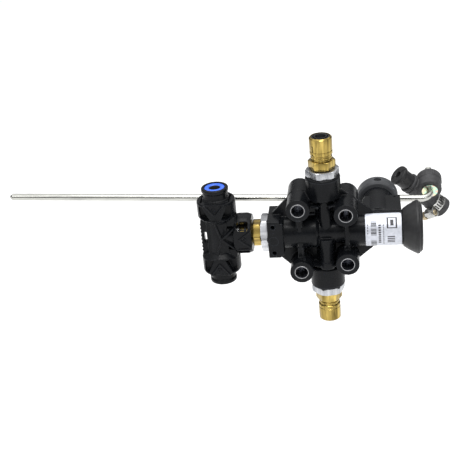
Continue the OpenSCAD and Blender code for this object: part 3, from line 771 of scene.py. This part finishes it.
def branch_details(solid):
    for front in (1, -1):
        flat = turned(turned(TEE, "X", 0 if front == 1 else 180), "X", 90)
        for side in (-1, 1):
            solid.prism([(27.8, side * 8.4), (27.8, side * 7.0), (18.4, side * -0.6), (17.0, 0),
                         (17.8, side * 0.9)],
                        12.6, 14.3, flat)
        solid.revolve([(0.9, 12.8), (0.9, 14.1), (1.6, 14.1), (1.6, 12.8)],
                      turned(flat, "Z", 0, (21.8, 0.2, 0)), 28)
        # Webs that run from the middle of the tee to its three cages.
        for side in (-1, 1):
            solid.prism([(13, side * 9.4), (13, side * 7.8), (3.8, side * -0.6), (2.0, 0),
                         (3.0, side * 0.9)], 7.0, 12.2, flat)
            solid.prism([(-2.2, side * 15), (-0.6, side * 15), (3.6, side * 0.6), (2.6, 0),
                         (2.0, side * 0.4)], 7.0, 12.0, flat)


def middle_shapes(solid):
    # Panels and ribs on the front and back.
    solid.box((-9, -8.6, -17), (8, 8.6, 17))
    # Fillets between the outlets and the branch.
    for up in (1, -1):
        solid.prism([(8, 10.4), (14.8, 10.4), (14.8, 17.6), (10, 19)], -9, 9,
                    turned(outlet_place(up), "X", 90))
    # Toothed strip down the left side, joined to the core above and below.
    solid.box((-14.4, -3.4, -17), (-12.2, 3.4, 14))
    solid.box((-14.4, -3.4, 3.4), (-8, 3.4, 14))
    solid.box((-14.4, -3.4, -17), (-8, 3.4, -6.2))
    for k in range(9):
        tooth = -16.4 + k * 3.3
        solid.prism([(-14.3, tooth - 1.0), (-15.4, tooth), (-14.3, tooth + 1.0), (-13.4, tooth + 1.0),
                     (-13.4, tooth - 1.0)],
                    -3.2, 3.2, turned(TEE, "X", 90))


def tee_bores():
    """One cutter for the branch and one for each outlet."""
    branch = Solid(turned(TEE, "Y", 90))
    branch.revolve([(0, 2), (3.6, 2), (3.6, 7.4), (7.66, 7.4), (7.66, 30), (0, 30)])
    cutters = [branch.done("branch_bore")]
    for up in (1, -1):
        solid = Solid(outlet_place(up))
        solid.revolve([(0, -1), (3.2, -1), (3.2, 16.5), (4.1, 16.5), (4.1, 28.4), (7.5, 28.4), (7.5, 33),
                       (8.55, 33), (8.55, 44), (0, 44)])
        cutters.append(solid.done("outlet_bore"))
    return cutters


def tee():
    """The tee moulding: solids, then windows, then raised details, then clean bores."""
    solid = Solid(TEE)
    solid.cylinder(10.4, -20, 20, TEE)
    windows = Solid(TEE)
    details = Solid(TEE)
    for up in (1, -1):
        outlet_shapes(solid, up)
        outlet_cuts(windows, up)
        outlet_details(details, up)
    branch_shapes(solid)
    branch_cuts(windows)
    branch_details(details)
    middle_shapes(solid)
    piece = voxels(solid.done("tee_moulding"), 0.32)
    cut(piece, windows.done("tee_windows"))
    joined(piece, details.done("tee_details"))
    softened(voxels(piece, 0.3), 3, 0.3)
    for cutter in tee_bores():
        cut(piece, cutter)
    return dressed(shaded(piece, 45), "tee_body")


# ---- Lever and rubber joint -----------------------------------------------------

def hub():
    """Lever hub, with its moulded edges rounded."""
    return dressed(moulded(node_copy("lever_hub", "hub_moulding"), 0.3, 4, 0.3), "lever_hub",
                   material=HUB_PLASTIC)


def rubber_joint():
    """Rubber cross joint: a drum on the bent pin and a tube across it."""
    solid = Solid(TUBE_Z)
    # Cross tube with its lip, ribs and end ring.
    solid.revolve([(0, -14), (8.8, -14), (9.0, -13.4), (9.0, -12.0), (8.0, -11.2), (8.0, -10.2), (8.7, -9.7),
                   (8.7, -8.7), (8.1, -8.2), (8.2, 14.5), (8.2, 24), (9.0, 24.3), (9.2, 24.8), (9.2, 28.8),
                   (8.5, 29.6), (0, 29.6)])
    # Drum on the pin, with a step ring round it.
    solid.revolve([(0, 10.1), (9.6, 10.1), (10.2, 10.8), (10.2, 19.4), (10.8, 20), (10.8, 26), (9.9, 27.3),
                   (0, 27.3)],
                  PIN, 96)
    for k in range(5):
        a = math.radians(9 * (k - 2))
        solid.cylinder(0.6, -2.2, 2.2, turned(PIN, "Z", 0, (10.7 * math.sin(a), -10.7 * math.cos(a), 23)),
                       12)
    # Webs between the drum and the tube.
    solid.box((-9.4, -8, -7), (-7.2, 2, 7.4), TUBE)
    solid.box((7.6, -8, -7), (9.8, 2, 7.4), TUBE)
    solid.box((-8, -6, -6.5), (8.4, 0, 7.4), TUBE)
    piece = voxels(solid.done("joint_rubber"), 0.28)
    softened(piece, 3, 0.35)
    for cutter in (Solid(TUBE_Z).cylinder(5.8, -16, 8, None, 64),
                   Solid(TUBE_Z).cylinder(3.1, 6, 40, None, 64),
                   Solid(PIN).cylinder(4.4, 8, 30, None, 64)):
        cut(piece, cutter.done("joint_bore"))
    return dressed(shaded(piece, 45), "joint_body")


def link_bush():
    """Slit bush that the link rod is pushed into."""
    solid = Solid(TUBE_Z)
    solid.revolve([(3, -26.6), (3.4, -27), (8.1, -27), (8.6, -26.7), (8.8, -26.1), (8.8, -24.2),
                   (8.4, -23.6),
                   (7.8, -23), (7.8, -14), (5.8, -14), (5.8, 8), (3, 8)])
    piece = solid.done("slit_bush")
    slit = Solid(TUBE).box((-29, -10, -0.3), (-15, 10, 0.3))
    cut(piece, slit.done("slit"))
    return dressed(bevelled(piece, 0.22), "split_bush")


def hose_clamp():
    """Perforated band, its worm housing, and the screw with its thread."""
    band = Solid(TUBE_Z)
    inner, outer = 8.27, 8.85
    band.revolve([(inner, 15.4), (outer, 15.4), (outer + 0.12, 15.7), (outer + 0.12, 16.1), (outer, 16.4),
                  (outer, 22.6),
                  (outer + 0.12, 22.9), (outer + 0.12, 23.3), (outer, 23.6), (inner, 23.6)], None, 120)
    slots = Solid(TUBE_Z)
    count = 24
    for k in range(count):
        place = turned(TUBE_Z, "Z", 360 * k / count)
        slots.prism([(8.1, -0.55), (12, -0.55), (12, 0.55), (8.1, 0.55)], 16.8, 22.2, place)
    piece = cut(band.done("band_strip"), slots.done("band_slots"))
    dressed(shaded(piece), "clamp_band")

    saddle = Solid(CLAMP)
    arch = [(-4.2, 3.1), (-4.2, 0.4), (-3.8, -1.8), (-2.2, -3.3), (2.2, -3.3), (3.8, -1.8), (4.2, 0.4),
            (4.2, 3.1)]
    saddle.prism(arch, -4.8, 4.3, turned(CLAMP, "X", 90))
    bore = Solid(turned(CLAMP, "X", 90)).cylinder(2.72, -7, 7)
    piece = cut(saddle.done("worm_saddle"), bore.done("worm_bore"))
    dressed(bevelled(piece, 0.3), "clamp_housing")

    along = turned(CLAMP, "X", -90)
    screw = Solid(along)
    thread = [(0, -5)]
    turns = 7
    for k in range(turns):
        z = -5 + k * 1.5
        thread += [(2.1, z + 0.1), (2.1, z + 0.35), (2.6, z + 0.6), (2.6, z + 0.9), (2.1, z + 1.2)]
    thread += [(2.1, 5.5), (3.9, 5.5), (3.9, 6.4), (0, 6.4)]
    screw.revolve(thread)
    corner = 7 / math.cos(math.radians(30)) / 2
    hexagon = [(corner * math.cos(math.radians(60 * k)),
                corner * math.sin(math.radians(60 * k))) for k in range(6)]
    screw.prism(hexagon, 6.35, 9.7)
    slot = Solid(along).box((-5, -0.5, 8.5), (5, 0.5, 11))
    piece = cut(screw.done("worm_screw"), slot.done("screw_slot"))
    dressed(bevelled(piece, 0.25), "clamp_screw")


def boot():
    """Flared exhaust boot with moulded rings round its mouth."""
    flare = [(15.0, 62.1), (16.1, 63.5), (17.7, 65.8), (19.0, 68), (20.1, 70.1), (20.9, 71.6), (21.1, 72.2),
             (21.6, 72.6)]
    nose = [(21.7, 73.4), (21.6, 74.4), (21.1, 75.2), (20.3, 75.5), (20.3, 76), (19.6, 76.8), (18.6, 77.45)]
    mouth = [(17.7, 77.4), (17.3, 76.8), (17, 75), (15.4, 71.5), (13, 70), (12.45, 69), (12.4, 67.1),
             (11.6, 67),
             (12.8, 65), (12.0, 65), (12.0, 62), (14.6, 62)]
    profile = curve_through(flare) + curve_through(nose, 3) + mouth
    piece = Solid(ALONG_X).revolve(profile, None, 128).done("flared_boot")
    return dressed(shaded(piece, 40), "exhaust_boot")


# ---- Machined parts -------------------------------------------------------------

def release_rings():
    """Blue head of each tee release ring, and the dark tube inside it."""
    for up, end in ((1, "top"), (-1, "bottom")):
        place = outlet_place(up)
        head = Solid(place).revolve([(4.7, 38.3), (8.1, 38.3), (8.4, 38.6), (8.4, 41.4), (7.9, 42.0),
                                     (5.4, 42.2),
                                     (4.7, 41.6)], None, 96)
        dressed(shaded(head.done("blue_ring_" + end)), "release_ring_" + end)
        inner = Solid(place).revolve([(4.15, 30.4), (6.1, 30.4), (6.1, 37.9), (4.6, 38.1), (4.6, 41.2),
                                      (4.4, 41.5),
                                      (4.15, 41.2)], None, 96)
        trim(shaded(inner.done("ring_tube_" + end)), "tee_release_" + end, "collet_plastic")


def collets():
    """Tube collets in the brass fittings: a flat outer ring, a groove and a raised inner lip."""
    for up, end in ((1, "top"), (-1, "bottom")):
        place = placed(centre("collet_" + end), X, Y, up * Z)
        ring = Solid(place).revolve([(4.2, -2.9), (6.7, -2.9), (7.4, -2.1), (7.4, 2.0), (7.1, 2.3),
                                     (6.2, 2.3), (6.0, 1.2),
                                     (5.5, 1.2), (5.3, 2.7), (4.9, 2.9), (4.4, 2.7), (4.2, 2.2)], None, 96)
        slots = Solid(place)
        for k in range(4):
            slots.box((4.0, -0.35, -3.2), (8, 0.35, 1.0), turned(place, "Z", 45 + 90 * k))
        dressed(shaded(cut(ring.done("collet_ring_" + end), slots.done("collet_slots_" + end))),
                "collet_" + end)


def machined():
    """Turned and hexagonal metal parts, with their edges broken."""
    for up in ("top", "bottom"):
        dressed(bevelled(node_copy("port_nut_" + up, "nut_" + up), 0.35), "port_nut_" + up)
        dressed(bevelled(node_copy("fitting_body_" + up, "brass_fitting_" + up), 0.18), "fitting_body_" + up)
    dressed(bevelled(node_copy("inlet_nut", "nut_inlet"), 0.4), "inlet_nut", material=NUT_X)
    dressed(bevelled(node_copy("inlet_adapter", "brass_adapter"), 0.2), "inlet_adapter", material=BRASS_X)


housing()
sleeves()
label()
tee()
hub()
rubber_joint()
link_bush()
hose_clamp()
boot()
release_rings()
collets()
machined()

# CAD nodes whose shape is right keep their mesh and get their finish.
for name, obj in frame["nodes"].items():
    obj.data.materials.clear()
    obj.data.materials.append(FINISHES[NODE_SLOT[name]])


# ---- Stage --------------------------------------------------------------------

def stage():
    """Pale floor just under the lowest point."""
    floor_mesh = Solid(Matrix.Identity(4)).box((-30, -30, -0.01), (30, 30, 0)).done("studio_floor")
    floor_mesh.location.z = CAD_BOX[0][2] - 0.12
    f = Finish("pale_floor")
    f.colour(f.blend(f.noise(0.004, 2, 0.4), (0.93, 0.93, 0.93), (0.95, 0.95, 0.95)))
    f.roughness(f.spread(f.noise(0.02, 3, 0.5), 0.7, 0.8))
    floor_mesh.data.materials.append(f.material)


def softbox(name, place, aim, size, power):
    lamp = bpy.data.lights.new(name, "AREA")
    lamp.shape = "RECTANGLE"
    lamp.size, lamp.size_y = size
    lamp.energy = power
    obj = linked(bpy.data.objects.new(name, lamp))
    obj.location = place
    obj.rotation_euler = (Vector(aim) - Vector(place)).to_track_quat("-Z", "Y").to_euler()


def camera():
    """Perspective camera at the reference angle."""
    azimuth, elevation, roll = 8.65, 25.89, -5.84
    aim = Vector((-0.0569, 0.0128, 0.0070))
    distance = 0.8318
    turn = (Matrix.Rotation(math.radians(azimuth), 4, "Z")
            @ Matrix.Rotation(math.radians(90 - elevation), 4, "X")
            @ Matrix.Rotation(math.radians(roll), 4, "Z"))
    data = bpy.data.cameras.new("camera")
    data.lens = 79.92
    data.sensor_width = 36
    obj = linked(bpy.data.objects.new("camera", data))
    obj.matrix_world = Matrix.Translation(aim) @ turn @ Matrix.Translation((0, 0, distance))
    bpy.context.scene.camera = obj


def studio_world():
    """Bright above and dim at the horizon, so that rounded metal shows its form."""
    world = bpy.data.worlds.new("studio")
    world.use_nodes = True
    tree = world.node_tree
    coords = tree.nodes.new("ShaderNodeTexCoord")
    split = tree.nodes.new("ShaderNodeSeparateXYZ")
    level = tree.nodes.new("ShaderNodeMapRange")
    level.inputs["From Min"].default_value = 0.22
    level.inputs["From Max"].default_value = 1.0
    level.inputs["To Min"].default_value = 0.10
    level.inputs["To Max"].default_value = 1.75
    tree.links.new(coords.outputs["Generated"], split.inputs["Vector"])
    tree.links.new(split.outputs["Z"], level.inputs["Value"])
    tree.links.new(level.outputs["Result"], tree.nodes["Background"].inputs["Strength"])
    tree.nodes["Background"].inputs["Color"].default_value = (1, 1, 1, 1)
    bpy.context.scene.world = world


stage()
studio_world()
softbox("overhead", (0.05, 0.1, 1.1), (0, 0, 0), (0.9, 0.5), 4.5)
softbox("front_left", (-0.9, -0.9, 0.9), (0, 0, 0), (0.3, 0.6), 2.2)
softbox("front_right", (0.9, -0.8, 0.4), (0, 0, 0), (0.2, 0.7), 1.2)
softbox("front_strip", (0.1, -0.65, 1.05), (0, 0, 0), (0.8, 0.12), 4.5)
bpy.context.scene.view_settings.view_transform = "Standard"
camera()
